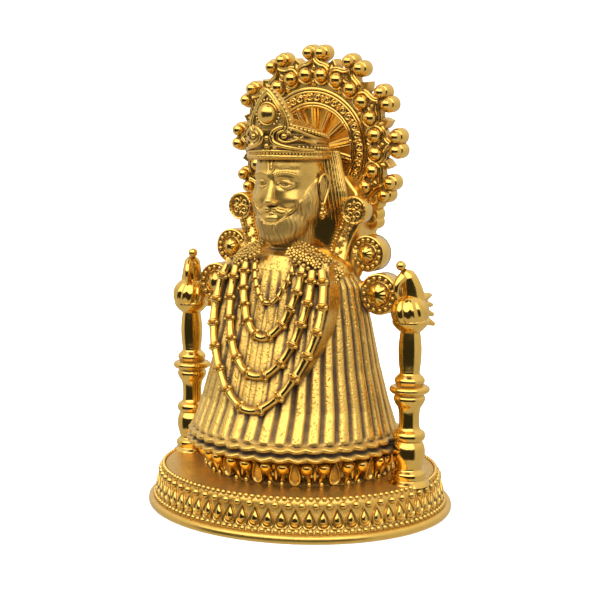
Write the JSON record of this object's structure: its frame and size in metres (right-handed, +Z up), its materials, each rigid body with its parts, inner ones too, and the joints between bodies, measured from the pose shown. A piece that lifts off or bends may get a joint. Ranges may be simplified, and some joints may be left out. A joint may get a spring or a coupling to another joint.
{
  "type": "figurine",
  "caption": "Small gilt cast figure of a crowned, bearded deity in a pleated robe and garlands, with a round halo, on an oval plinth between two bird-topped posts.",
  "frame": {"origin": "centre of the plinth's flat underside", "axes": "+Z up; the figure faces -Y, its left hand side is +X"},
  "size_m": [0.06, 0.054, 0.0875],
  "materials": {
    "gilt": "bright polished yellow gold plating on a casting, satin on the plain side walls, with brown-grey patina in the recesses"
  },
  "bodies": {
    "root": {"figure": "gilt"}
  },
  "joints": []
}
